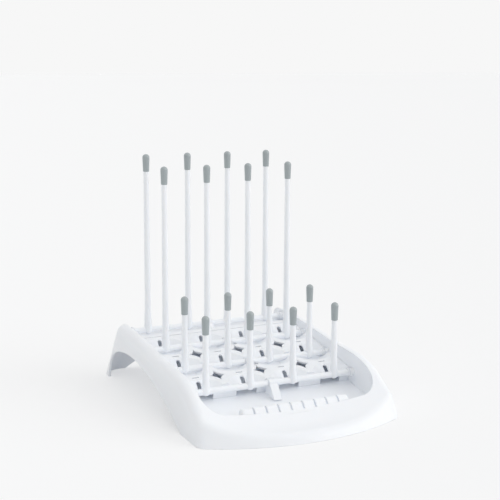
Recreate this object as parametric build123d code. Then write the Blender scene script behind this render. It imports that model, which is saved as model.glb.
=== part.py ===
"""Folding bottle drying rack: a moulded base with a draining grate and four rows of pegs.

Millimetres, +Z up, X across the rack, +Y towards its back. The origin is on the
surface under the middle of the base. Rows are counted from the front, columns from
the left. Each row is two forks, a bar with two upright pegs, that fold forwards.
"""
import os
from math import atan2, cos, degrees, hypot, radians, sin, tan

from build123d import *

# ---------------------------------------------------------------- driving dimensions
# Base outline at the surface it stands on
BASE_WIDTH = 250.0
BASE_DEPTH = 360.0
FRONT_BOW = 34.0  # how far the middle of the front edge stands ahead of its corners
FRONT_CORNER_RADIUS = 14.0
BACK_CORNER_RADIUS = 26.0
FRONT_LEAN = 25.0  # degrees from the vertical
BACK_LEAN = 30.0
SIDE_LEAN = 3.0
WALL = 2.8
RIM_ROUND = 11.0  # radius over the outer edge of the rim

# Height of the rim over the middle, from the nose to the back; the dish lifts it at the sides
NOSE_CREST = 15.0
FRONT_CREST = 22.0
SHOULDER_CREST = 42.5
SHOULDER_RUN = 32.0  # from the front of the basin back to the shoulder of the flank
SIDE_CREST = 53.0
CORNER_CREST = 66.5
DISH_RADIUS = 1000.0

# Basin
BASIN_WIDTH = 216.0
BASIN_FRONT_INSET = 47.0  # from the foremost edge to the front of the basin
BASIN_CORNER_RADIUS = 24.0
BASIN_BOW = 3.0  # bow of its front edge
FLOOR_DROP = 14.5  # basin floor below the pivots
FRONT_FLOOR = 12.0  # lowest level of the basin floor

# Peg rows
ROWS = 4
COLUMNS = 4
PEG_PITCH = 55.0
ROW_RISE = 10.0
FIRST_ROW_INSET = 112.0  # from the foremost edge to the front row
LAST_ROW_INSET = 65.0  # from the last row to the hindmost edge
ROW_PITCH = (BASE_DEPTH - FIRST_ROW_INSET - LAST_ROW_INSET) / (ROWS - 1)
FIRST_PIVOT_HEIGHT = 35.0
SHORT_REACH = 87.0  # pivot to the top of the soft tip
TALL_REACH = 222.0
SHORT_ROWS = 2
BAR_DIAMETER = 7.0
JOURNAL_DIAMETER = 5.0
JOURNAL_LENGTH = 4.6
PEG_ROOT_DIAMETER = 8.2
PEG_TOP_DIAMETER = 6.6
COLLAR_DIAMETER = 10.4
SHORT_COLLAR = 12.0
TALL_COLLAR = 27.0
FLANGE_DIAMETER = 9.6
FLANGE_THICKNESS = 1.6
FOLD_ANGLE = 80.0

# Soft tips
TIP_LENGTH = 21.5
TIP_DIAMETER = 8.8
TIP_FOOT_DIAMETER = 7.6
TIP_SKIRT = 15.0  # depth of the socket over the peg's spigot
SPIGOT_DIAMETER = 4.6

# Brackets that carry the bars
BRACKET_DIAMETER = 11.0
POST_WIDTH = 10.0
POST_TOE = 11.0  # how far a tall post's foot reaches forwards
SNAP_MOUTH = 4.4
BOSS_LENGTH = 5.4

# Draining grate
GRATE_LIFT = 3.0  # its top above the plane of the pivots
GRATE_SKIN = 2.2
CUP_GAP = 4.0  # between the rims of neighbouring cups
CUP_DIAMETER = min(PEG_PITCH, ROW_PITCH) - CUP_GAP
CUP_FLOOR_DIAMETER = 27.0
CUP_DEPTH = 9.0
STAR_WIDTH = 20.0
STAR_LENGTH = 27.0
STAR_WAIST = 0.34  # how far its hollow sides come in, as a share of its size
SLIT_LENGTH = 9.0
SLIT_WIDTH = 2.4
DRAIN_SLOT_WIDTH = 5.0
DRAIN_SLOT_LENGTH = 16.0
DRAIN_SLOT_START = 8.0  # behind the pivot
OUTLET_WIDTH = 26.0
OUTLET_HEIGHT = 6.0

# Comb on the front crest
COMB_TEETH = 9
COMB_PITCH = 15.0
COMB_SLOT = 2.2
COMB_HEIGHT = 7.0
COMB_DEPTH = 16.0
COMB_ROUND = 5.0

# Back shelf under the last row
SHELF_CLEARANCE = 2.0  # below the bars of the last row
SHELF_FRONT_INSET = 29.0  # from the last row forwards to the face of the shelf
SHELF_LIP_WIDTH = 12.0
SHELF_LIP_DROP = 2.5  # its top below the pivots of the last row

# Arches under the sides and the back
ARCH_FRONT = 48.0  # from the front corners back to the start of the side arch
ARCH_PEAK = 45.0
LEG_LENGTH = 32.0
BACK_ARCH_HEIGHT = 36.0
BACK_ARCH_WIDTH = 186.0

# Fits
RUNNING_CLEARANCE = 0.08
SIDE_CLEARANCE = 0.4  # ends of the bars to their brackets
SEAT_CLEARANCE = 0.3
TROUGH_CLEARANCE = 0.5
TIP_CLEARANCE = 0.05

# ---------------------------------------------------------------- derived places
FRONT = -BASE_DEPTH / 2
BACK = BASE_DEPTH / 2
HALF_WIDTH = BASE_WIDTH / 2
HALF_BASIN = BASIN_WIDTH / 2
SLOPE = degrees(atan2(ROW_RISE, ROW_PITCH))
FIRST_ROW = FRONT + FIRST_ROW_INSET
LAST_ROW = FIRST_ROW + (ROWS - 1) * ROW_PITCH
LAST_PIVOT = FIRST_PIVOT_HEIGHT + (ROWS - 1) * ROW_RISE
SHELF_FACE = LAST_ROW - SHELF_FRONT_INSET
SHELF_TOP = LAST_PIVOT - BAR_DIAMETER / 2 - SHELF_CLEARANCE
LIP_TOP = LAST_PIVOT - SHELF_LIP_DROP
BASIN_FRONT = FRONT + BASIN_FRONT_INSET
FLOOR_BREAK = FIRST_ROW + (FRONT_FLOOR - FIRST_PIVOT_HEIGHT + FLOOR_DROP) * ROW_PITCH / ROW_RISE
GRATE_ROWS = ROWS - 1
SLOPE_PITCH = hypot(ROW_PITCH, ROW_RISE)
TOP = CORNER_CREST + 20.0


def row_place(row):
    """Return the Y and Z of a row's pivot, rows counted from 0 at the front."""
    return FIRST_ROW + row * ROW_PITCH, FIRST_PIVOT_HEIGHT + row * ROW_RISE


def column_place(column):
    """Return the X of a column of pegs, counted from 0 at the left."""
    return (column - (COLUMNS - 1) / 2) * PEG_PITCH


# ---------------------------------------------------------------- base
def base_outline(height, inset):
    """Return the outline of the leaning skirt at a height, moved inwards by inset."""
    half = HALF_WIDTH - height * tan(radians(SIDE_LEAN)) - inset
    back = BACK - height * tan(radians(BACK_LEAN)) - inset
    corner = FRONT + FRONT_BOW + height * tan(radians(FRONT_LEAN)) + inset
    nose = corner - FRONT_BOW
    edges = Polyline((-half, corner), (-half, back), (half, back), (half, corner))
    bow = ThreePointArc((half, corner), (0, nose), (-half, corner))
    face = make_face(edges + bow)
    corners = face.vertices().sort_by(Axis.Y)
    face = fillet(corners[0:2], FRONT_CORNER_RADIUS - inset)
    face = fillet(face.vertices().group_by(Axis.Y)[-1], BACK_CORNER_RADIUS - inset)
    return Pos(0, 0, height) * face


def crest_profile(drop, below):
    """Return the side view of the base as a face in the YZ plane, its top lowered by drop."""
    shoulder = BASIN_FRONT + SHOULDER_RUN
    points = [
        (FRONT - 10, NOSE_CREST - drop),
        (BASIN_FRONT, FRONT_CREST - drop),
        (shoulder, SHOULDER_CREST - drop),
        (FIRST_ROW + ROW_PITCH / 2, SIDE_CREST - drop),
        (LAST_ROW - ROW_PITCH, CORNER_CREST - 4 - drop),
        (BACK + 10, CORNER_CREST - drop),
    ]
    crest = Spline(*points)
    ends = Polyline(points[-1], (BACK + 10, below - 20), (FRONT - 10, below - 20), points[0])
    return Plane.YZ * make_face(crest + ends)


def dished(face):
    """Sweep a face of the YZ plane to both sides, along an arc that lifts it towards them."""
    spine = Axis((0, 0, DISH_RADIUS), (0, 1, 0))
    half_angle = degrees((BASE_WIDTH / 2 + 10) / (DISH_RADIUS - TOP))
    return revolve(face.rotate(spine, -half_angle), spine, 2 * half_angle)


def across(face, width=BASE_WIDTH + 20):
    """Extrude a face of the YZ plane to both sides, as one solid centred on the middle."""
    return Pos(-width / 2, 0, 0) * extrude(face, width)


def base_block(inset, below):
    """Return the solid under the rim, bounded by the skirt's planes moved inwards by inset."""
    skirt = loft([base_outline(below, inset), base_outline(TOP, inset)], ruled=True)
    side_view = dished(crest_profile(inset, below))
    block = skirt & side_view
    rim = block.edges().filter_by(lambda e: e.center().Z > NOSE_CREST - inset - 6)
    rim = [e for e in rim if abs(e.center().Z - below) > 5 and not is_upright(e)]
    return fillet(rim, RIM_ROUND - inset)


def is_upright(edge):
    """Tell whether an edge climbs the skirt, as its corner lines do."""
    size = edge.bounding_box().size
    return size.Z > 0.8 * edge.length


def basin_block(grow):
    """Return the hollow of the basin, its walls and floor moved outwards by grow."""
    half = HALF_BASIN + grow
    front = BASIN_FRONT - grow
    end = BACK + 20
    sides = Polyline((-half, front + BASIN_BOW), (-half, end), (half, end), (half, front + BASIN_BOW))
    bow = ThreePointArc((half, front + BASIN_BOW), (0, front), (-half, front + BASIN_BOW))
    opening = make_face(sides + bow)
    corners = opening.vertices().sort_by(Axis.Y)[0:2]
    opening = fillet(corners, BASIN_CORNER_RADIUS + grow)
    shaft = extrude(opening, TOP + 40)
    side_view = make_face(
        Polyline(
            (front - 5, TOP + 40),
            (front - 5, FRONT_FLOOR - grow),
            (FLOOR_BREAK, FRONT_FLOOR - grow),
            (SHELF_FACE + grow, floor_height(SHELF_FACE) - grow),
            (SHELF_FACE + grow, LIP_TOP - grow),
            (SHELF_FACE + SHELF_LIP_WIDTH + grow, LIP_TOP - grow),
            (SHELF_FACE + SHELF_LIP_WIDTH + LIP_TOP - SHELF_TOP + grow, SHELF_TOP - grow),
            (end + 5, SHELF_TOP - grow),
            (end + 5, TOP + 40),
            (front - 5, TOP + 40),
        )
    )
    return shaft & across(Plane.YZ * side_view)


def side_arch():
    """Return the cutter of the long arch under one flank, which leaves a leg at the back."""
    start = FRONT + FRONT_BOW + ARCH_FRONT
    end = BACK - LEG_LENGTH
    span = end - start
    points = [
        (start, -1),
        (start + 0.34 * span, 0.72 * ARCH_PEAK),
        (start + 0.76 * span, ARCH_PEAK),
        (end - 10, 0.62 * ARCH_PEAK),
        (end, -1),
    ]
    arch = make_face(Spline(*points, tangents=[(0.85, 0.5), (0.1, -1)]) + Line(points[-1], points[0]))
    depth = HALF_WIDTH - HALF_BASIN
    return Pos(HALF_BASIN + WALL + 1, 0, 0) * extrude(Plane.YZ * arch, depth)


def back_arch():
    """Return the cutter of the arch between the two back legs."""
    half = BACK_ARCH_WIDTH / 2
    outline = make_face(
        Line((half, -1), (-half, -1)) + ThreePointArc((-half, -1), (0, BACK_ARCH_HEIGHT), (half, -1))
    )
    start = SHELF_FACE + WALL + 12
    return Pos(0, start, 0) * extrude(Plane.XZ * outline, -(BACK - start + 5))


def floor_height(y):
    """Return the height of the sloping basin floor, parallel to the plane of the pivots."""
    return FIRST_PIVOT_HEIGHT - FLOOR_DROP + (y - FIRST_ROW) * ROW_RISE / ROW_PITCH


def seat_height(row):
    """Return the height of the surface that carries a row's centre post."""
    y, pivot = row_place(row)
    return SHELF_TOP if row == ROWS - 1 else max(floor_height(y), FRONT_FLOOR)


def rod(x0, x1, y, z, diameter):
    """Return a cylinder along X between two places."""
    return Pos((x0 + x1) / 2, y, z) * Rot(0, 90, 0) * Cylinder(diameter / 2, abs(x1 - x0))


def snap_bore(x0, x1, row):
    """Return the cutter of a bore along X with its narrower mouth on top."""
    y, z = row_place(row)
    bore = rod(x0, x1, y, z, JOURNAL_DIAMETER + 2 * RUNNING_CLEARANCE)
    mouth = Pos((x0 + x1) / 2, y, z + BRACKET_DIAMETER / 2) * Box(abs(x1 - x0), SNAP_MOUTH, BRACKET_DIAMETER)
    return bore + mouth


def centre_post(row):
    """Return the wedge-shaped post between the two forks of a row, with its snap bore."""
    y, z = row_place(row)
    radius = BRACKET_DIAMETER / 2
    foot = seat_height(row) - WALL / 2
    toe = y - radius - POST_TOE * (z - foot) / FLOOR_DROP
    web = make_face(Polyline((y + radius, foot), (y + radius, z), (y - radius, z), (toe, foot), (y + radius, foot)))
    post = across(Plane.YZ * web, POST_WIDTH) + rod(-POST_WIDTH / 2, POST_WIDTH / 2, y, z, BRACKET_DIAMETER)
    return post - snap_bore(-POST_WIDTH, POST_WIDTH, row)


def side_boss(row, side):
    """Return the boss on a basin wall that holds the outer end of a fork."""
    y, z = row_place(row)
    boss = rod(side * (HALF_BASIN - BOSS_LENGTH), side * (HALF_BASIN + WALL / 2), y, z, BRACKET_DIAMETER)
    return boss - snap_bore(side * (HALF_BASIN - BOSS_LENGTH - 5), side * HALF_BASIN, row)


def comb():
    """Return the rounded ridge on the front crest, which follows its bow, with its slots."""
    radius = (HALF_BASIN**2 + BASIN_BOW**2) / (2 * BASIN_BOW)
    half_angle = degrees(COMB_TEETH * COMB_PITCH / 2 / radius)
    front = BASIN_FRONT - COMB_DEPTH / 4
    back = front + COMB_DEPTH
    top = FRONT_CREST + COMB_HEIGHT
    root = FRONT_FLOOR - WALL / 2
    slope = Spline((front, FRONT_CREST - 2), (back - COMB_ROUND, top), tangents=[(1, 0.3), (1, 0.1)])
    crown = ThreePointArc(
        (back - COMB_ROUND, top),
        (back - COMB_ROUND * (1 - cos(radians(45))), top - COMB_ROUND * (1 - sin(radians(45)))),
        (back, top - COMB_ROUND),
    )
    sides = Polyline((back, top - COMB_ROUND), (back, root), (front, root), (front, FRONT_CREST - 2))
    spine = Axis((0, BASIN_FRONT + radius, 0), (0, 0, 1))
    profile = Plane.YZ * make_face(slope + crown + sides)
    ridge = revolve(profile.rotate(spine, -half_angle), spine, 2 * half_angle)
    ends = [edge for edge in ridge.edges() if abs(edge.center().X) > COMB_TEETH * COMB_PITCH / 2 - 2]
    ends = [edge for edge in ends if edge.center().Z > FRONT_CREST and edge.bounding_box().size.Y > COMB_ROUND / 2]
    ridge = fillet(ends, COMB_ROUND * 0.8)
    for slot in range(COMB_TEETH - 1):
        angle = degrees((slot - (COMB_TEETH - 2) / 2) * COMB_PITCH / radius)
        middle = (front + back) / 2
        height = COMB_HEIGHT + 1
        gap = Pos(0, middle, top + 1 - height / 2) * Box(COMB_SLOT, 2 * COMB_DEPTH, height)
        ridge -= gap.rotate(spine, angle)
    return ridge


def make_base():
    """Return the moulded base: skirt, rim, basin, shelf, comb and the bar brackets."""
    shell = base_block(0, 0)
    cavity = base_block(WALL, -5)
    hollow = basin_block(0)
    base = shell - hollow - (cavity - basin_block(WALL))
    arch = side_arch()
    base -= arch
    base -= mirror(arch, Plane.YZ)
    base -= back_arch()
    base += comb()
    for row in range(ROWS):
        base += centre_post(row)
        base += side_boss(row, 1)
        base += side_boss(row, -1)
    return base


# ---------------------------------------------------------------- draining grate
def grate_plane():
    """Return the plane through the pivots: X across, Y up the slope, Z out of the grate."""
    tilt = radians(SLOPE)
    return Plane((0, FIRST_ROW, FIRST_PIVOT_HEIGHT), x_dir=(1, 0, 0), z_dir=(0, -sin(tilt), cos(tilt)))


def cup(row, column, grow):
    """Return one cup as a cone, its wall and floor moved outwards by grow."""
    depth = CUP_DEPTH + grow
    slant = (CUP_DIAMETER - CUP_FLOOR_DIAMETER) / 2 / CUP_DEPTH
    foot = CUP_FLOOR_DIAMETER / 2 + grow
    head = foot + slant * (CUP_DEPTH + 1)
    height = CUP_DEPTH + 1
    body = Pos(0, 0, height / 2) * Cone(foot, head, height)
    if grow:
        body += Pos(0, 0, -grow / 2) * Cylinder(foot, grow)
    place = Pos(column_place(column), row * SLOPE_PITCH, GRATE_LIFT - CUP_DEPTH)
    return place * body


def trough(row, radius, half_width):
    """Return the channel along a row, round at its bottom and open at its top."""
    channel = Rot(0, 90, 0) * Cylinder(radius, 2 * half_width)
    channel += Pos(0, 0, (GRATE_LIFT + 1) / 2) * Box(2 * half_width, 2 * radius, GRATE_LIFT + 1)
    return Pos(0, row * SLOPE_PITCH, 0) * channel


def star():
    """Return one star-shaped hole with four hollow sides."""
    tips = [(STAR_WIDTH / 2, 0), (0, STAR_LENGTH / 2), (-STAR_WIDTH / 2, 0), (0, -STAR_LENGTH / 2)]
    outline = Curve()
    for (x, y), (next_x, next_y) in zip(tips, tips[1:] + tips[:1]):
        hollow = ((x + next_x) * STAR_WAIST, (y + next_y) * STAR_WAIST)
        outline += ThreePointArc((x, y), hollow, (next_x, next_y))
    return make_face(outline)


def star_holes():
    """Return the star-shaped holes between the cups, with a slit ahead of each inner cup."""
    holes = []
    for row in range(GRATE_ROWS - 1):
        y = (row + 0.5) * SLOPE_PITCH
        for column in range(COLUMNS - 1):
            holes.append(Pos(column_place(column + 0.5), y) * star())
        for column in range(COLUMNS):
            holes.append(Pos(column_place(column), y) * SlotOverall(SLIT_LENGTH, SLIT_WIDTH))
    return Sketch() + holes


def make_grate():
    """Return the sloping insert of cups that drains the bottles, with its skirt."""
    half = HALF_BASIN - SEAT_CLEARANCE
    start = BRACKET_DIAMETER / 2 + TROUGH_CLEARANCE + GRATE_SKIN / 2
    foot = -FLOOR_DROP * cos(radians(SLOPE))
    end = (SHELF_FACE - SEAT_CLEARANCE - FIRST_ROW) / cos(radians(SLOPE)) + foot * tan(radians(SLOPE))
    length = end - start
    middle = (start + end) / 2
    radius = BRACKET_DIAMETER / 2 + TROUGH_CLEARANCE

    inside = Pos(0, middle, 0) * Box(2 * half, length, 4 * FLOOR_DROP)
    body = Pos(0, middle, GRATE_LIFT - GRATE_SKIN / 2) * Box(2 * half, length, GRATE_SKIN)
    skirt_height = GRATE_LIFT - foot
    skirt = Box(2 * half, length, skirt_height)
    skirt -= Pos(0, GRATE_SKIN / 2, 0) * Box(2 * (half - GRATE_SKIN), length - GRATE_SKIN, skirt_height)
    skirt -= Pos(0, length / 2, 0) * Box(2 * (half - GRATE_SKIN), 4 * GRATE_SKIN, skirt_height)
    body += Pos(0, middle, (GRATE_LIFT + foot) / 2) * skirt

    cells = [(row, column) for row in range(GRATE_ROWS) for column in range(COLUMNS)]
    below_rim = Pos(0, middle, GRATE_LIFT - FLOOR_DROP) * Box(2 * half, length, 2 * FLOOR_DROP)
    for row, column in cells:
        body += cup(row, column, GRATE_SKIN) & below_rim
    for row in range(1, GRATE_ROWS):
        body += trough(row, radius + GRATE_SKIN, half) & below_rim
    for row, column in cells:
        body -= cup(row, column, 0)
    for row in range(1, GRATE_ROWS):
        body -= trough(row, radius, half + 5)
    body -= Pos(0, 0, -FLOOR_DROP) * extrude(star_holes(), 2 * FLOOR_DROP)

    notch_width = BOSS_LENGTH + TROUGH_CLEARANCE
    for row, column in cells:
        x = column_place(column)
        y = row * SLOPE_PITCH + DRAIN_SLOT_START + DRAIN_SLOT_LENGTH / 2
        slot = extrude(Rot(0, 0, 90) * SlotOverall(DRAIN_SLOT_LENGTH, DRAIN_SLOT_WIDTH), FLOOR_DROP)
        body -= Pos(x, y, -FLOOR_DROP / 2) * slot
    for row in range(1, GRATE_ROWS):
        for side in (-1, 1):
            gap = Box(2 * notch_width, 2 * radius, 4 * FLOOR_DROP)
            body -= Pos(side * HALF_BASIN, row * SLOPE_PITCH, 0) * gap
    for column in range(COLUMNS):
        outlet = Box(OUTLET_WIDTH, 6 * GRATE_SKIN, 2 * OUTLET_HEIGHT)
        body -= Pos(column_place(column), start, foot) * outlet

    grate = grate_plane() * (body & inside)
    for row in range(1, GRATE_ROWS):
        y, z = row_place(row)
        ahead = BRACKET_DIAMETER / 2 + POST_TOE + TROUGH_CLEARANCE
        behind = BRACKET_DIAMETER / 2 + 2 * TROUGH_CLEARANCE
        window = Box(POST_WIDTH + 2 * TROUGH_CLEARANCE, ahead + behind, 4 * FLOOR_DROP)
        grate -= Pos(0, y + (behind - ahead) / 2, z) * window
    return grate


# ---------------------------------------------------------------- forks and tips
def peg(reach, collar):
    """Return a tapering peg that stands on the origin, with its collar and its spigot."""
    shoulder = reach - TIP_LENGTH
    root = PEG_ROOT_DIAMETER / 2
    top = PEG_TOP_DIAMETER / 2
    neck = root + (top - root) * collar / shoulder
    spigot = SPIGOT_DIAMETER / 2
    profile = make_face(
        Polyline(
            (0, 0),
            (COLLAR_DIAMETER / 2, 0),
            (neck, collar),
            (top, shoulder),
            (spigot, shoulder),
            (spigot, shoulder + TIP_SKIRT - SEAT_CLEARANCE),
            (0, shoulder + TIP_SKIRT - SEAT_CLEARANCE),
            (0, 0),
        )
    )
    return revolve(Plane.XZ * profile, Axis.Z) + Sphere(COLLAR_DIAMETER / 2)


def make_fork(row, side):
    """Return one fork: its bar with two journals and two pegs, as moulded in one piece."""
    y, z = row_place(row)
    inner = POST_WIDTH / 2 + SIDE_CLEARANCE
    outer = HALF_BASIN - BOSS_LENGTH - SIDE_CLEARANCE
    fork = rod(side * inner, side * outer, y, z, BAR_DIAMETER)
    fork += rod(side * (outer - FLANGE_THICKNESS), side * outer, y, z, FLANGE_DIAMETER)
    fork += rod(side * (inner - JOURNAL_LENGTH), side * (outer + JOURNAL_LENGTH), y, z, JOURNAL_DIAMETER)
    for column in fork_columns(side):
        reach, collar = row_reach(row)
        fork += Pos(column_place(column), y, z) * peg(reach, collar)
    return fork


def fork_columns(side):
    """Return the columns that a left (-1) or right (1) fork carries."""
    half = COLUMNS // 2
    return range(half) if side < 0 else range(half, COLUMNS)


def row_reach(row):
    """Return how far a row's pegs stand above their pivot, and the height of their collars."""
    return (SHORT_REACH, SHORT_COLLAR) if row < SHORT_ROWS else (TALL_REACH, TALL_COLLAR)


def make_tip(row, column):
    """Return the soft tip over a peg's spigot, seated on the peg's shoulder."""
    y, z = row_place(row)
    reach = row_reach(row)[0]
    foot = TIP_FOOT_DIAMETER / 2
    belly = TIP_DIAMETER / 2
    waist = TIP_LENGTH - belly
    socket = SPIGOT_DIAMETER / 2 + TIP_CLEARANCE
    flank = Line((foot, 0), (belly, waist))
    dome = ThreePointArc((belly, waist), (belly * cos(radians(45)), waist + belly * sin(radians(45))), (0, TIP_LENGTH))
    inside = Polyline((0, TIP_LENGTH), (0, TIP_SKIRT), (socket, TIP_SKIRT), (socket, 0), (foot, 0))
    profile = make_face(flank + dome + inside)
    return Pos(column_place(column), y, z + reach - TIP_LENGTH) * revolve(Plane.XZ * profile, Axis.Z)


# ---------------------------------------------------------------- parts
ROW_NAMES = ("front_short", "rear_short", "front_tall", "rear_tall")
SIDE_NAMES = {-1: "left", 1: "right"}


def main():
    """Write one STEP file for each piece."""
    os.makedirs("parts", exist_ok=True)
    export_step(make_base(), "parts/base_frame.step")
    export_step(make_grate(), "parts/drain_grate.step")
    for row, name in enumerate(ROW_NAMES):
        for side, side_name in SIDE_NAMES.items():
            export_step(make_fork(row, side), f"parts/peg_fork_{name}_{side_name}.step")
        for column in range(COLUMNS):
            export_step(make_tip(row, column), f"parts/tip_{name}_{column + 1}.step")


if __name__ == "__main__":
    main()
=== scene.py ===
"""Dresses the folding bottle drying rack: moulded white plastic, soft grey tips, studio stage.

Lengths are in metres and angles in degrees, turns to the right of the front and heights above the floor.
"""
import logging
from dataclasses import dataclass
from enum import Enum
from math import cos, pi, radians, sin

import bpy
from mathutils import Matrix, Vector


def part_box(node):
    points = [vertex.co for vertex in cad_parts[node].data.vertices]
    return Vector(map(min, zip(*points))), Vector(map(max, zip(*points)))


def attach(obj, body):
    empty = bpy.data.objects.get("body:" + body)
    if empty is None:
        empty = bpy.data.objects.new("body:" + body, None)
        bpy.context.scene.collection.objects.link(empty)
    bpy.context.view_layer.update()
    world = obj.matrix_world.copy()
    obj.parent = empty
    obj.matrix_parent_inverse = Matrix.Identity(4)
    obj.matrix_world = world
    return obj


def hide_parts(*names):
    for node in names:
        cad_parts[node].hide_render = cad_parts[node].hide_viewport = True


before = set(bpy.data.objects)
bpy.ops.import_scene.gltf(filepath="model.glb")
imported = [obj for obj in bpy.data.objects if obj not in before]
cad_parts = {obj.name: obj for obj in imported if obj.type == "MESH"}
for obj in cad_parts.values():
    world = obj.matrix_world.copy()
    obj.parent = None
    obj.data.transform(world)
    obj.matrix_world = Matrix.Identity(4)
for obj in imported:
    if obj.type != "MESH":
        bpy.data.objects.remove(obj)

LOG = logging.getLogger("bottle_rack")
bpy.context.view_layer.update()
MM = 0.001


class Side(Enum):
    """The two halves of the rack."""

    LEFT = "left"
    RIGHT = "right"

    def columns(self) -> tuple[int, int]:
        """Return the two columns of pegs on this side, counted from 1 at the left."""
        return (1, 2) if self is Side.LEFT else (3, 4)


class Row(Enum):
    """The rows of pegs from the front to the back, by the names of their nodes."""

    FRONT_SHORT = "front_short"
    REAR_SHORT = "rear_short"
    FRONT_TALL = "front_tall"
    REAR_TALL = "rear_tall"

    def fork(self, side: Side) -> str:
        """Return the node of this row's fork on a side."""
        return f"peg_fork_{self.value}_{side.value}"

    def body(self, side: Side) -> str:
        """Return the body of this row's fork on a side."""
        return f"fork_{self.value}_{side.value}"

    def tip(self, column: int) -> str:
        """Return the node of the tip in a column, counted from 1 at the left."""
        return f"tip_{self.value}_{column}"


# ------------------------------------------------------------------ nodes
class Value:
    """A socket that can be used in Python expressions."""

    def __init__(self, tree: "NodeTree", socket: bpy.types.NodeSocket | None) -> None:
        """Keep the socket and the tree that it belongs to."""
        self.tree = tree
        self.socket = socket

    def _math(self, operation: str, *others: "Value | float") -> "Value":
        """Add one Math node with this value first, and return its output."""
        inputs = {0: self, **{index + 1: other for index, other in enumerate(others)}}
        return self.tree.add("ShaderNodeMath", {"operation": operation}, inputs)

    def __add__(self, other: "Value | float") -> "Value":
        """Add."""
        return self._math("ADD", other)

    def __radd__(self, other: float) -> "Value":
        """Add, reflected."""
        return self._math("ADD", other)

    def __sub__(self, other: "Value | float") -> "Value":
        """Subtract."""
        return self._math("SUBTRACT", other)

    def __rsub__(self, other: float) -> "Value":
        """Subtract, reflected."""
        return self._math("MULTIPLY", -1.0) + other

    def __mul__(self, other: "Value | float") -> "Value":
        """Multiply."""
        return self._math("MULTIPLY", other)

    def __rmul__(self, other: float) -> "Value":
        """Multiply, reflected."""
        return self._math("MULTIPLY", other)

    def __truediv__(self, other: "Value | float") -> "Value":
        """Divide."""
        return self._math("DIVIDE", other)

    def __rtruediv__(self, other: float) -> "Value":
        """Divide, reflected."""
        return self.power(-1.0) * other

    def power(self, exponent: float) -> "Value":
        """Raise to a power."""
        return self._math("POWER", exponent)

    def maximum(self, other: "Value | float") -> "Value":
        """Return the larger of two."""
        return self._math("MAXIMUM", other)

    def minimum(self, other: "Value | float") -> "Value":
        """Return the smaller of two."""
        return self._math("MINIMUM", other)

    def absolute(self) -> "Value":
        """Return the value without its sign."""
        return self._math("ABSOLUTE")

    def cosine(self) -> "Value":
        """Return the cosine of an angle in radians."""
        return self._math("COSINE")

    def ramp(self, low: "Value | float", high: "Value | float") -> "Value":
        """Return 0 at low and below, 1 at high and above, and a straight rise between them."""
        sockets = {"Value": self, "From Min": low, "From Max": high}
        return self.tree.add("ShaderNodeMapRange", {"interpolation_type": "LINEAR"}, sockets)


class NodeTree:
    """A node tree, with the one method that adds any node."""

    def __init__(self, tree: bpy.types.NodeTree) -> None:
        """Keep the tree and empty it."""
        self.tree = tree
        tree.nodes.clear()

    def add(
        self,
        kind: str,
        settings: dict[str, object] | None = None,
        inputs: dict[str | int, object] | None = None,
        output: str | int = 0,
    ) -> Value:
        """Add a node: its settings first, then the values and links of its sockets.

        Args:
            kind: The node's type.
            settings: Attributes to set on the node.
            inputs: Values or links, by socket name or index.
            output: The output to return.

        Returns:
            The chosen output, ready for expressions.
        """
        node = self.tree.nodes.new(kind)
        for name, value in (settings or {}).items():
            setattr(node, name, value)
        for key, value in (inputs or {}).items():
            if isinstance(value, Value):
                self.tree.links.new(value.socket, node.inputs[key])
            else:
                node.inputs[key].default_value = value
        return Value(self, node.outputs[output] if node.outputs else None)


class ShaderTree(NodeTree):
    """A material's nodes."""

    edge_samples: int = 4

    def __init__(self, name: str) -> None:
        """Start an empty material.

        Args:
            name: The material's name.
        """
        self.material = bpy.data.materials.new(name)
        self.material.use_nodes = True
        super().__init__(self.material.node_tree)

    def position(self) -> Value:
        """Return the point on the surface, in the object's own frame."""
        return self.add("ShaderNodeTexCoord", output="Object")

    def noise(self, scale: float, detail: float = 2.0, roughness: float = 0.5) -> Value:
        """Return noise between 0 and 1, with its scale in cells to the metre."""
        sockets = {"Vector": self.position(), "Scale": scale, "Detail": detail, "Roughness": roughness}
        return self.add("ShaderNodeTexNoise", inputs=sockets)

    def mix(self, factor: Value | float, first: object, second: object) -> Value:
        """Mix two colours.

        Args:
            factor: 0 gives the first, 1 the second.
            first: A colour or a link.
            second: A colour or a link.

        Returns:
            The mixed colour.
        """
        factor_socket, first_socket, second_socket, colour_output = 0, 6, 7, 2
        inputs = {factor_socket: factor, first_socket: first, second_socket: second}
        return self.add("ShaderNodeMix", {"data_type": "RGBA"}, inputs, colour_output)

    def mottle(self, pattern: Value, colour: tuple[float, float, float], spread: float) -> Value:
        """Vary a colour over a pattern, darker and lighter by a share of itself."""
        return self.mix(pattern, rgba(colour, 1 - spread), rgba(colour, 1 + spread))

    def bump(self, height: Value, depth: float, edge: float) -> Value:
        """Turn a height between 0 and 1 into a normal, over edges that look slightly rounded.

        Args:
            height: The height pattern.
            depth: What 1 stands for, in metres.
            edge: The radius over sharp edges, in metres.

        Returns:
            The normal.
        """
        rounded = self.add("ShaderNodeBevel", {"samples": self.edge_samples}, {"Radius": edge})
        sockets = {"Height": height, "Distance": depth, "Strength": 1.0, "Normal": rounded}
        return self.add("ShaderNodeBump", inputs=sockets)

    def finish(self, surface: Value) -> bpy.types.Material:
        """End the tree in its surface shader and return the material."""
        self.add("ShaderNodeOutputMaterial", inputs={"Surface": surface})
        return self.material


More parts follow.
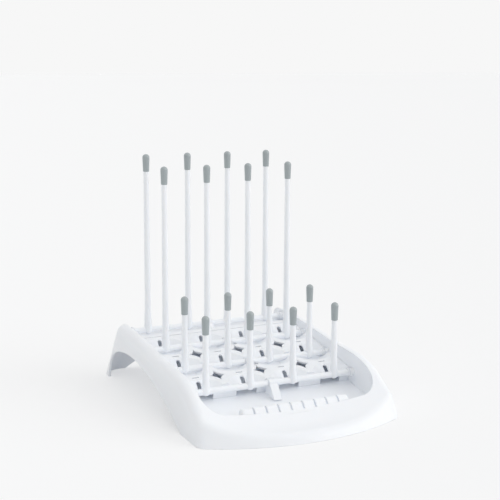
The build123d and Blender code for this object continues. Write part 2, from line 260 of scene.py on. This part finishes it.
class GeometryTree(NodeTree):
    """A geometry tree with named inputs, ended by Realize Instances and Set Material."""

    def __init__(self, name: str, inputs: dict[str, float]) -> None:
        """Start a tree.

        Args:
            name: Its name.
            inputs: Its named numbers and their values.
        """
        super().__init__(bpy.data.node_groups.new(name, "GeometryNodeTree"))
        self.sizes = inputs
        self.tree.interface.new_socket("Geometry", in_out="OUTPUT", socket_type="NodeSocketGeometry")
        for label in inputs:
            self.tree.interface.new_socket(label, in_out="INPUT", socket_type="NodeSocketFloat")

    def size(self, label: str) -> Value:
        """Return one of the named inputs."""
        return self.add("NodeGroupInput", output=label)

    def vector(self, x: Value | float = 0.0, y: Value | float = 0.0, z: Value | float = 0.0) -> Value:
        """Join three numbers into a vector."""
        return self.add("ShaderNodeCombineXYZ", inputs={"X": x, "Y": y, "Z": z})

    def mesh(self, shape: Value, material: bpy.types.Material, name: str) -> bpy.types.Object:
        """End the tree, evaluate it and return its result as a plain mesh.

        Args:
            shape: The finished geometry.
            material: What it is made of.
            name: The new object's name.

        Returns:
            The finished piece.
        """
        realised = self.add("GeometryNodeRealizeInstances", inputs={"Geometry": shape})
        smooth = self.add("GeometryNodeSetShadeSmooth", inputs={"Geometry": realised})
        dressed = self.add("GeometryNodeSetMaterial", inputs={"Geometry": smooth, "Material": material})
        self.add("NodeGroupOutput", inputs={"Geometry": dressed})
        carrier = bpy.data.objects.new(name + "_maker", bpy.data.meshes.new(name + "_maker"))
        bpy.context.scene.collection.objects.link(carrier)
        modifier = carrier.modifiers.new(name, "NODES")
        modifier.node_group = self.tree
        for item in self.tree.interface.items_tree:
            if item.item_type == "SOCKET" and item.in_out == "INPUT":
                modifier[item.identifier] = float(self.sizes[item.name])
        evaluated = carrier.evaluated_get(bpy.context.evaluated_depsgraph_get())
        made = bpy.data.meshes.new_from_object(evaluated)
        made.name = name
        # The empty carrier leaves an empty slot, so the list starts anew.
        made.materials.clear()
        made.materials.append(material)
        bpy.data.objects.remove(carrier)
        piece = bpy.data.objects.new(name, made)
        bpy.context.scene.collection.objects.link(piece)
        return piece


def rgba(colour: tuple[float, float, float], factor: float = 1.0) -> tuple[float, float, float, float]:
    """Return a linear colour with alpha, darker or lighter by a factor, with no channel over 1."""
    red, green, blue = (min(1.0, channel * factor) for channel in colour)
    return (red, green, blue, 1.0)


# ------------------------------------------------------------------ finishes
@dataclass(frozen=True)
class MouldedPlastic:
    """White polypropylene from a finely textured mould: satin, a little cloudy, not quite even."""

    name: str
    colour: tuple[float, float, float] = (0.915, 0.932, 0.958)
    unevenness: float = 0.012
    roughness: float = 0.34
    cloud_roughness: float = 0.10
    grain_roughness: float = 0.06
    edge: float = 0.7 * MM
    cloud_scale: float = 22.0
    cloud_detail: float = 3.0
    grain_scale: float = 1500.0
    grain_weight: float = 0.6
    grain_depth: float = 0.012 * MM
    translucence: float = 0.12
    scatter_radius: tuple[float, float, float] = (1.0, 0.9, 0.8)
    scatter_scale: float = 1.5 * MM
    refraction: float = 1.49

    def material(self) -> bpy.types.Material:
        """Build the material.

        Returns:
            The new material.
        """
        tree = ShaderTree(self.name)
        cloud = tree.noise(self.cloud_scale, self.cloud_detail)
        grain = tree.noise(self.grain_scale, roughness=self.grain_weight)
        smoothest = self.roughness - (self.cloud_roughness + self.grain_roughness) / 2
        sockets = {
            "Base Color": tree.mottle(cloud, self.colour, self.unevenness),
            "Roughness": cloud * self.cloud_roughness + grain * self.grain_roughness + smoothest,
            "Normal": tree.bump(grain, self.grain_depth, self.edge),
            "Subsurface Weight": self.translucence,
            "Subsurface Radius": self.scatter_radius,
            "Subsurface Scale": self.scatter_scale,
            "IOR": self.refraction,
        }
        return tree.finish(tree.add("ShaderNodeBsdfPrincipled", inputs=sockets))


@dataclass(frozen=True)
class SoftElastomer:
    """Grey soft-touch elastomer: satin, with a broad soft highlight and a slight bloom."""

    name: str
    colour: tuple[float, float, float] = (0.35, 0.392, 0.402)
    shine: float = 0.9
    bloom: float = 0.05
    bloom_scale: float = 90.0
    bloom_detail: float = 3.0
    bloom_roughness: float = 0.12
    roughness: float = 0.32
    edge: float = 0.4 * MM
    grain_scale: float = 2600.0
    grain_depth: float = 0.01 * MM

    def material(self) -> bpy.types.Material:
        """Build the material.

        Returns:
            The new material.
        """
        tree = ShaderTree(self.name)
        bloom = tree.noise(self.bloom_scale, self.bloom_detail)
        sockets = {
            "Base Color": tree.mottle(bloom, self.colour, self.bloom),
            "Roughness": bloom * self.bloom_roughness + (self.roughness - self.bloom_roughness / 2),
            "Normal": tree.bump(tree.noise(self.grain_scale), self.grain_depth, self.edge),
            "Specular IOR Level": self.shine,
        }
        return tree.finish(tree.add("ShaderNodeBsdfPrincipled", inputs=sockets))


@dataclass(frozen=True)
class PaperFloor:
    """The pale matt floor of the stage, which shows the camera a lightened shadow."""

    name: str = "pale_floor"
    colour: tuple[float, float, float] = (0.96, 0.96, 0.96)
    shown: tuple[float, float, float] = (0.99, 0.99, 0.99)
    lightening: float = 0.45
    roughness: float = 0.4
    mottle_scale: float = 1.5
    mottle_spread: float = 0.001

    def material(self) -> bpy.types.Material:
        """Build the material.

        Returns:
            The new material.
        """
        tree = ShaderTree(self.name)
        tone = tree.mottle(tree.noise(self.mottle_scale), self.colour, self.mottle_spread)
        matt = tree.add("ShaderNodeBsdfDiffuse", inputs={"Color": tone, "Roughness": self.roughness})
        plain = tree.add("ShaderNodeEmission", inputs={"Color": rgba(self.shown), "Strength": 1.0})
        camera = tree.add("ShaderNodeLightPath", output="Is Camera Ray")
        shaders = {0: camera * self.lightening, 1: matt, 2: plain}
        return tree.finish(tree.add("ShaderNodeMixShader", inputs=shaders))


WHITE_SHELL = MouldedPlastic("white_shell")
WHITE_GRATE = MouldedPlastic("white_grate", roughness=0.38)
WHITE_PEGS = MouldedPlastic("white_pegs", roughness=0.3, cloud_scale=40.0, edge=0.5 * MM)
GREY_TIPS = SoftElastomer("grey_tips")


def dress(node: str, material: bpy.types.Material) -> bpy.types.Object:
    """Give a CAD node its material.

    Args:
        node: The node's name.
        material: What it is made of.

    Returns:
        The dressed piece.
    """
    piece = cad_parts[node]
    piece.data.materials.clear()
    piece.data.materials.append(material)
    return piece


# ------------------------------------------------------------------ stage
@dataclass(frozen=True)
class Sun:
    """A sun lamp, large enough in the sky for soft shadows."""

    name: str
    strength: float
    angle: float
    turn: float = 0.0
    height: float = 90.0

    def hang(self) -> None:
        """Add the lamp, shining from its turn and its height."""
        lamp = bpy.data.lights.new(self.name, "SUN")
        lamp.energy = self.strength
        lamp.angle = radians(self.angle)
        holder = bpy.data.objects.new(self.name, lamp)
        bpy.context.scene.collection.objects.link(holder)
        holder.rotation_euler = direction(self.turn, self.height).to_track_quat("Z", "Y").to_euler()


@dataclass
class Stage:
    """The floor, the lamps, the world and the camera."""

    floor_size: float = 60.0
    world_colour: tuple[float, float, float] = (0.98, 0.99, 1.0)
    world_level: float = 0.625
    backdrop_colour: tuple[float, float, float] = (1.0, 1.0, 1.0)
    backdrop_level: float = 0.93
    plain_rays: tuple[str, str, str] = ("Camera", "Glossy", "Transmission")
    key_sun: Sun = Sun("key_sun", strength=0.98, angle=54.0, turn=56.0, height=20.0)
    top_sun: Sun = Sun("top_sun", strength=0.62, angle=100.0)
    diffuse_bounces: int = 16
    max_bounces: int = 32
    camera_turn: float = -25.717
    camera_height: float = 9.853
    camera_roll: float = 0.182
    camera_distance: float = 1.3235
    camera_reach: float = 100.0
    target: tuple[float, float, float] = (0.01678, 0.02508, 0.17417)
    focal_pixels: float = 1090.74
    image_width: float = 500.0
    sensor: float = 36.0

    def build(self) -> None:
        """Make everything that isn't the rack."""
        self.floor()
        self.world()
        self.key_sun.hang()
        self.top_sun.hang()
        self.camera()
        self.bounces()

    def floor(self) -> None:
        """Lay the floor."""
        half = self.floor_size / 2
        mesh = bpy.data.meshes.new("floor")
        corners = [(-half, -half, 0), (half, -half, 0), (half, half, 0), (-half, half, 0)]
        mesh.from_pydata(corners, [], [(0, 1, 2, 3)])
        piece = bpy.data.objects.new("floor", mesh)
        bpy.context.scene.collection.objects.link(piece)
        mesh.materials.append(PaperFloor().material())

    def world(self) -> None:
        """Light evenly from all round, and show plain white to the camera and in reflections."""
        world = bpy.data.worlds.new("studio")
        bpy.context.scene.world = world
        world.use_nodes = True
        tree = NodeTree(world.node_tree)
        rays = [tree.add("ShaderNodeLightPath", output=f"Is {kind} Ray") for kind in self.plain_rays]
        seen = rays[0].maximum(rays[1]).maximum(rays[2])
        light = {"Color": rgba(self.world_colour), "Strength": self.world_level}
        backdrop = {"Color": rgba(self.backdrop_colour), "Strength": self.backdrop_level}
        soft = tree.add("ShaderNodeBackground", inputs=light)
        plain = tree.add("ShaderNodeBackground", inputs=backdrop)
        mixed = tree.add("ShaderNodeMixShader", inputs={0: seen, 1: soft, 2: plain})
        tree.add("ShaderNodeOutputWorld", inputs={"Surface": mixed})

    def bounces(self) -> None:
        """Let light pass to and fro between white walls until it has died away."""
        bpy.context.scene.cycles.diffuse_bounces = self.diffuse_bounces
        bpy.context.scene.cycles.max_bounces = self.max_bounces

    def camera(self) -> None:
        """Place the camera in front of the rack on the left, a little above it and slightly rolled."""
        data = bpy.data.cameras.new("view")
        data.sensor_width = self.sensor
        data.lens = self.sensor * self.focal_pixels / self.image_width
        data.clip_end = self.camera_reach
        back = direction(self.camera_turn, self.camera_height)
        right = Vector((cos(radians(self.camera_turn)), sin(radians(self.camera_turn)), 0))
        up = back.cross(right)
        roll = radians(self.camera_roll)
        across = cos(roll) * right + sin(roll) * up
        upright = back.cross(across)
        place = Vector(self.target) + back * self.camera_distance
        holder = bpy.data.objects.new("view", data)
        bpy.context.scene.collection.objects.link(holder)
        turned = Matrix((across, upright, back)).transposed().to_4x4()
        holder.matrix_world = Matrix.Translation(place) @ turned
        bpy.context.scene.camera = holder


def direction(turn: float, height: float) -> Vector:
    """Return the unit vector from the rack towards a turn and a height."""
    flat = cos(radians(height))
    return Vector((sin(radians(turn)) * flat, -cos(radians(turn)) * flat, sin(radians(height))))


# ------------------------------------------------------------------ the rack
@dataclass
class Base:
    """The moulded base and its draining grate."""

    shell: MouldedPlastic = WHITE_SHELL
    grate: MouldedPlastic = WHITE_GRATE

    def build(self) -> list[bpy.types.Object]:
        """Give both mouldings their plastic and return them."""
        return [dress("base_frame", self.shell.material()), dress("drain_grate", self.grate.material())]


@dataclass
class SoftTips:
    """The soft bullet-shaped tips of one fork, turned from one profile."""

    row: Row
    side: Side
    length: float = 21.5 * MM
    foot_radius: float = 3.8 * MM
    belly_radius: float = 4.4 * MM
    foot_round: float = 0.5 * MM
    parting_depth: float = 0.06 * MM
    parting_reach: float = 0.25 * MM
    least_radius: float = 0.02 * MM
    stations: int = 64
    segments: int = 48

    def build(self, material: bpy.types.Material) -> bpy.types.Object:
        """Turn both tips and let them ride on their fork.

        Args:
            material: The elastomer.

        Returns:
            The finished piece.
        """
        nodes = [self.row.tip(column) for column in self.side.columns()]
        tree = GeometryTree(f"tips_{self.row.value}_{self.side.value}", self.sizes(*nodes))
        ring = {"Resolution": self.segments, "Radius": 1.0}
        circle = tree.add("GeometryNodeCurvePrimitiveCircle", inputs=ring)
        axis = self.axis(tree)
        sweep = {"Curve": axis, "Profile Curve": circle, "Scale": self.radius(tree), "Fill Caps": True}
        skin = tree.add("GeometryNodeCurveToMesh", inputs=sweep)
        place = tree.vector(tree.size("First X"), tree.size("Row Y"), tree.size("Foot Z"))
        places = {"Count": len(nodes), "Start Location": place, "Offset": tree.vector(x=tree.size("Pitch"))}
        pair = tree.add("GeometryNodeMeshLine", {"mode": "OFFSET"}, places)
        both = tree.add("GeometryNodeInstanceOnPoints", inputs={"Points": pair, "Instance": skin})
        piece = tree.mesh(both, material, f"soft_tips_{self.row.value}_{self.side.value}")
        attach(piece, self.row.body(self.side))
        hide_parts(*nodes)
        return piece

    def sizes(self, first_node: str, last_node: str) -> dict[str, float]:
        """Gather the tree's named inputs, the places read from the solids that the tips replace.

        Args:
            first_node: The left tip's node.
            last_node: The right tip's node.

        Returns:
            The inputs' names and values.
        """
        low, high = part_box(first_node)
        last_low, last_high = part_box(last_node)
        middle, last_middle = (low + high) / 2, (last_low + last_high) / 2
        return {
            "Length": self.length,
            "Foot Radius": self.foot_radius,
            "Belly Radius": self.belly_radius,
            "Foot Round": self.foot_round,
            "Parting Depth": self.parting_depth,
            "Parting Reach": self.parting_reach,
            "Pitch": last_middle.x - middle.x,
            "First X": middle.x,
            "Row Y": middle.y,
            "Foot Z": low.z,
        }

    def axis(self, tree: GeometryTree) -> Value:
        """Draw the axis, its stations crowded towards both ends, where the profile is round.

        Args:
            tree: The tree to add to.

        Returns:
            The axis as a curve.
        """
        length = tree.size("Length")
        line = tree.add("GeometryNodeCurvePrimitiveLine", inputs={"End": tree.vector(z=length)})
        even = tree.add("GeometryNodeResampleCurve", inputs={"Curve": line, "Count": self.stations})
        share = tree.add("GeometryNodeSplineParameter", output="Factor")
        crowded = (1.0 - (share * pi).cosine()) * 0.5
        place = tree.vector(z=crowded * length)
        return tree.add("GeometryNodeSetPosition", inputs={"Geometry": even, "Position": place})

    def radius(self, tree: GeometryTree) -> Value:
        """Work out the radius at a height: a tapered flank, a dome, a rounded foot and a parting line.

        Args:
            tree: The tree to add to.

        Returns:
            The radius at each station of the axis.
        """
        foot_radius, belly = tree.size("Foot Radius"), tree.size("Belly Radius")
        foot_round = tree.size("Foot Round")
        point = tree.add("GeometryNodeInputPosition")
        height = tree.add("ShaderNodeSeparateXYZ", inputs={"Vector": point}, output="Z")
        dome_start = tree.size("Length") - belly
        flank = foot_radius + (belly - foot_radius) * height.ramp(0.0, dome_start)
        above = (height - dome_start).maximum(0.0) / belly
        below = (1.0 - height / foot_round).maximum(0.0)
        hollow = foot_round * (1.0 - self.arc(below))
        near = 1.0 - ((height - dome_start).absolute() / tree.size("Parting Reach")).minimum(1.0)
        groove = tree.size("Parting Depth") * near.power(2.0)
        return (flank * self.arc(above) - hollow - groove).maximum(self.least_radius)

    @staticmethod
    def arc(share: Value) -> Value:
        """Return 1 at share 0, falling along a quarter circle to 0 at share 1."""
        return (1.0 - share.power(2.0)).maximum(0.0).power(0.5)


@dataclass
class Forks:
    """The eight forks of pegs and their soft tips."""

    pegs: MouldedPlastic = WHITE_PEGS
    tips: SoftElastomer = GREY_TIPS

    def build(self) -> list[bpy.types.Object]:
        """Give the forks their plastic and turn their tips.

        Returns:
            The forks and the pairs of tips, row by row.
        """
        plastic = self.pegs.material()
        rubber = self.tips.material()
        pieces = []
        for row in Row:
            for side in Side:
                pieces.append(dress(row.fork(side), plastic))
                pieces.append(SoftTips(row, side).build(rubber))
        return pieces


def main() -> None:
    """Dress the rack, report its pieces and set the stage."""
    logging.basicConfig(level=logging.INFO, format="%(name)s: %(message)s")
    bpy.context.scene.view_settings.view_transform = "Standard"
    for piece in Base().build() + Forks().build():
        LOG.info("%s in %s, %d faces", piece.name, piece.data.materials[0].name, len(piece.data.polygons))
    Stage().build()


if __name__ == "__main__":
    main()
